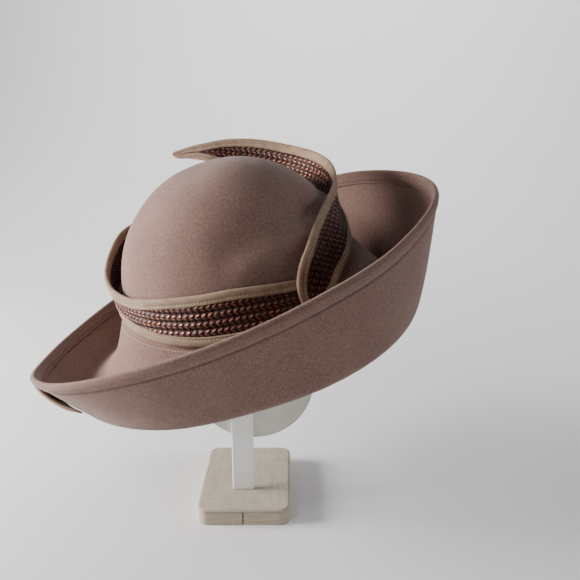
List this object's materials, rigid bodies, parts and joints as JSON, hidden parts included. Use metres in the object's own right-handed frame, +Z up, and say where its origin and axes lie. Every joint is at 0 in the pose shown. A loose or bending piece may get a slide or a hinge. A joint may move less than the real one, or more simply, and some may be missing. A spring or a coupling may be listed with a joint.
{
  "type": "felt hat on display stand",
  "caption": "Wide brimmed felt hat with an upturned stitched brim, a bound braid band and a free standing braid collar, resting tilted on a plain display stand.",
  "frame": {"origin": "middle of the underside of the stand's base", "axes": "+Z up, +X along the hat's long side towards its high end, -Y towards the viewer at the front"},
  "size_m": [0.3418, 0.272, 0.3184],
  "materials": {
    "felt": "soft brushed wool felt",
    "braid": "dark straw braid with copper thread",
    "binding": "matte bias cloth",
    "linen": "woven linen cover",
    "white_post": "smooth satin",
    "cream_plate": "smooth matte"
  },
  "bodies": {
    "root": {"crown": "felt", "brim": "felt", "band_braid": "braid", "band_lower_binding": "binding", "band_upper_binding": "binding", "collar_braid": "braid", "collar_lower_binding": "binding", "collar_upper_binding": "binding", "leaf_braid": "braid", "leaf_lower_binding": "binding", "leaf_upper_binding": "binding", "stand_base": "linen", "stand_post": "white_post", "stand_plate": "cream_plate"}
  },
  "joints": []
}
